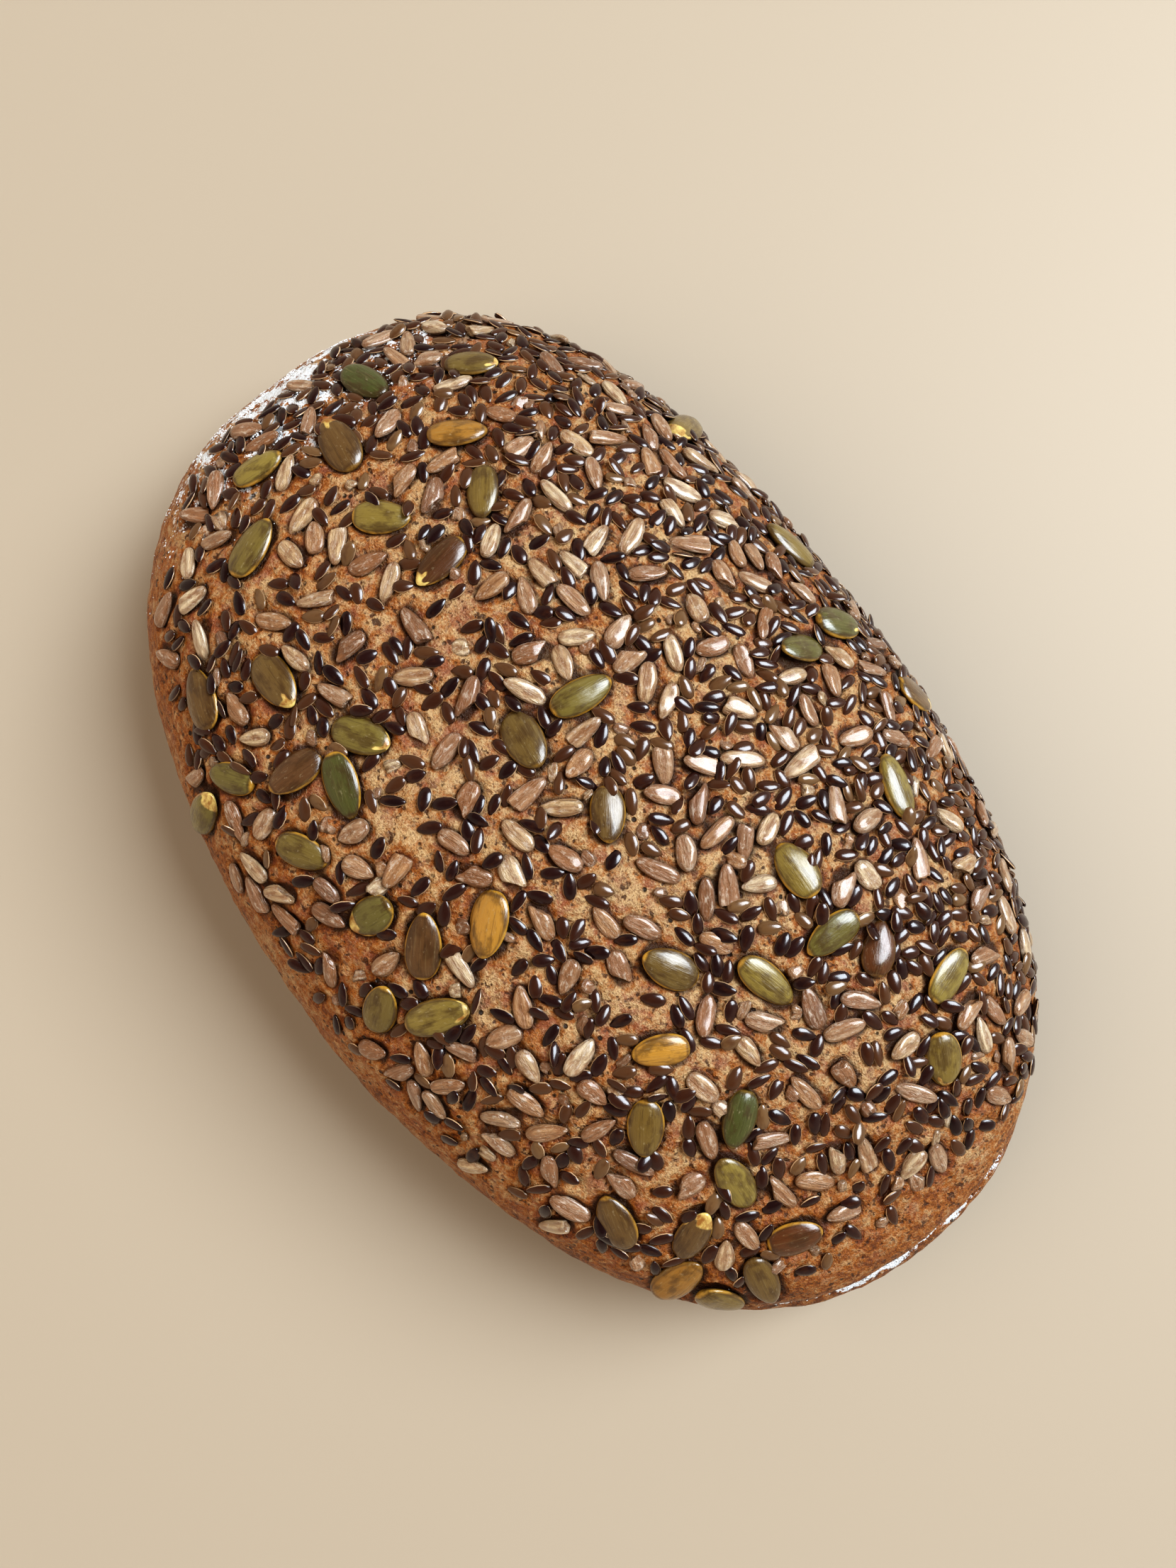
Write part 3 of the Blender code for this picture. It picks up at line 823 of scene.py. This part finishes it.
def linseed_form(draw):
    """One linseed, 1 long, 1 wide and 1 thick. +X is its tip."""
    form = rounded_form(LINSEED_ROUND, LINSEED_ALONG)
    rims = form.verts.layers.float.new("rim")
    tip = draw.uniform(0.60, 0.74)
    hook = draw.uniform(-0.05, 0.05)
    for corner in form.verts:
        along = corner.co.x
        turn = math.atan2(corner.co.z, corner.co.y)
        rise = abs(math.sin(turn))
        width = drop_width(along, 0.47, tip)
        corner.co.x = 0.5 * along
        corner.co.y = 0.5 * width * math.cos(turn) + hook * max(along, 0) ** 2
        corner.co.z = 0.5 * width**0.8 * rise**1.5 * math.copysign(1, math.sin(turn))
        corner[rims] = max(1 - rise / 0.60, 0)
    return form


def glassy_linseed():
    """Linseed coat: purple-brown to mid brown, glassy, with a pale rim line, partly its own colour and partly
    a painted highlight.
    """
    material, tree, shader = finish_of("linseed coat")
    grain = node(tree, "Attribute", attribute_name="grain").outputs["Vector"]
    blots = mist(tree, grain, 1.8, 2.0)
    colour = ramp(
        tree,
        mark(tree, "shade"),
        (0.0, (0.016, 0.005, 0.006)),
        (0.35, (0.028, 0.009, 0.008)),
        (0.70, (0.052, 0.018, 0.009)),
        (0.90, (0.090, 0.040, 0.018)),
        (1.0, (0.160, 0.092, 0.043)),
    )
    colour = mixed(tree, spread(tree, blots, 0.5, 0.7, 0.0, 0.5), colour, (0.070, 0.025, 0.010))
    # Partly painted highlight: a pale line along each seed's sharp rim.
    edge = spread(tree, mark(tree, "tint"), 0.1, 0.7, 0.30, 1.0)
    edge = sums(tree, "MULTIPLY", spread(tree, mark(tree, "rim"), 0.38, 0.66), edge)
    colour = mixed(tree, edge, colour, (0.56, 0.39, 0.24))
    tree.links.new(colour, shader.inputs["Base Color"])
    shader.inputs["Roughness"].default_value = 0.24
    shader.inputs["Coat Weight"].default_value = 0.5
    shader.inputs["Coat Roughness"].default_value = 0.12
    return material


draw = random.Random(43)
linseed_finish = glassy_linseed()
linseed_forms = [linseed_form(draw) for _ in range(LINSEED_FORMS)]
linseed_mesh = join_copies("linseeds", linseed_forms, linseeds, LINSEED, draw)
place_piece("linseeds", linseed_mesh, linseed_finish)
stray_forms = [linseed_form(draw) for _ in range(LINSEED_FORMS)]
stray_mesh = join_copies("linseeds_on_top", stray_forms, strays, STRAY, draw)
place_piece("linseeds_on_top", stray_mesh, linseed_finish)


# The flour. Rice flour from the rising basket stuck to the -X tip and in the fold at the other end, and
# baked on in small white clots.
FLOUR = {"proud": 0.45}
FLOUR_TRIES = 11000
FLOUR_CLOT = 0.0042  # how wide its clots are
GRAIN_WIDTH = (0.00022, 0.00075)
GRAIN_FORMS = 6
# The two patches: the middle and the spread of each in degrees, and the least clotting that holds.
TIP_FLOUR = {"azimuth": (179, 9.0), "elevation": (24.0, 7.0), "least": 0.04}
FOLD_FLOUR = {"azimuth": (-2, 9.0), "elevation": (8.7, 0.9), "least": -0.05}


def flour_form(draw):
    """One grain of clotted flour, uneven."""
    form = bmesh.new()
    bmesh.ops.create_icosphere(form, subdivisions=1, radius=0.5)
    form.verts.layers.float.new("rim")
    for corner in form.verts:
        corner.co *= draw.uniform(0.7, 1.1)
    return form


draw = random.Random(44)
grains = []
for number in range(FLOUR_TRIES):
    patch = TIP_FLOUR if number % 3 else FOLD_FLOUR
    azimuth = math.radians(draw.gauss(*patch["azimuth"]))
    elevation = math.radians(draw.gauss(*patch["elevation"]))
    place, normal, _ = skin_frame(azimuth, elevation)
    clot = noise.noise(place / FLOUR_CLOT + Vector((5.3, 1.9, 0.0)))
    turn = Matrix.Rotation(draw.uniform(0, 2 * math.pi), 3, normal)
    along = turn @ normal.orthogonal().normalized()
    wide = draw.uniform(*GRAIN_WIDTH)
    if clot > patch["least"]:
        pose = Matrix((along, normal.cross(along), normal)).transposed()
        grains.append((place, pose, [wide, wide * draw.uniform(0.6, 1.0), wide * draw.uniform(0.4, 0.8)]))


def dry_flour():
    """Flour: dead matt and white."""
    material, tree, shader = finish_of("dry flour")
    where = node(tree, "TexCoord").outputs["Object"]
    dust = mist(tree, where, 2500.0, 2.0)
    colour = mixed(tree, spread(tree, dust, 0.40, 0.60), (0.78, 0.80, 0.83), (0.60, 0.61, 0.62))
    tree.links.new(colour, shader.inputs["Base Color"])
    shader.inputs["Roughness"].default_value = 0.95
    shader.inputs["Specular IOR Level"].default_value = 0.2
    return material


grain_forms = [flour_form(draw) for _ in range(GRAIN_FORMS)]
flour_mesh = join_copies("flour", grain_forms, grains, FLOUR, draw)
place_piece("flour", flour_mesh, dry_flour())


# The floor and the light: a plain pale floor, a soft window to the upper right of the view, and the
# warm even light of the room.
FLOOR_RADIUS = 1.7
FLOOR_SIDES = 96
LIGHTS_AWAY = 2.4

form = bmesh.new()
bmesh.ops.create_circle(form, cap_ends=True, segments=FLOOR_SIDES, radius=FLOOR_RADIUS)
floor_mesh = bpy.data.meshes.new("floor")
form.to_mesh(floor_mesh)
form.free()
material, tree, shader = finish_of("pale floor")
shader.inputs["Base Color"].default_value = (0.385, 0.325, 0.255, 1.0)
shader.inputs["Roughness"].default_value = 0.6
floor_mesh.materials.append(material)
floor = bpy.data.objects.new("floor", floor_mesh)
bpy.context.scene.collection.objects.link(floor)


def soft_light(name, power, size, colour, way, glints):
    """A square soft light that faces the loaf from afar, unseen itself. It shows in gloss with glints."""
    light = bpy.data.lights.new(name, "AREA")
    light.energy = power
    light.size = size
    light.color = colour
    lamp = bpy.data.objects.new(name, light)
    lamp.location = way * LIGHTS_AWAY
    lamp.rotation_euler = way.to_track_quat("Z", "Y").to_euler()
    lamp.visible_camera = False
    lamp.visible_glossy = glints
    bpy.context.scene.collection.objects.link(lamp)


soft_light("window", 82.0, 1.50, (0.83, 0.92, 1.0), Vector((0.15, 0.64, 0.75)), glints=True)
soft_light("ceiling", 33.0, 2.40, (1.0, 0.90, 0.79), Vector((-0.36, -0.60, 0.71)), glints=False)

room = bpy.data.worlds.new("room")
room.use_nodes = True
tree = room.node_tree
height = node(tree, "SeparateXYZ", {"Vector": node(tree, "TexCoord").outputs["Generated"]}).outputs["Z"]
walls = ramp(tree, height, (0.0, (0.42, 0.36, 0.29)), (0.60, (0.34, 0.29, 0.23)), (0.80, (0.10, 0.075, 0.05)))
tree.links.new(walls, tree.nodes["Background"].inputs["Color"])
bpy.context.scene.world = room
bpy.context.scene.view_settings.view_transform = "Standard"
bpy.context.scene.view_settings.look = "High Contrast"
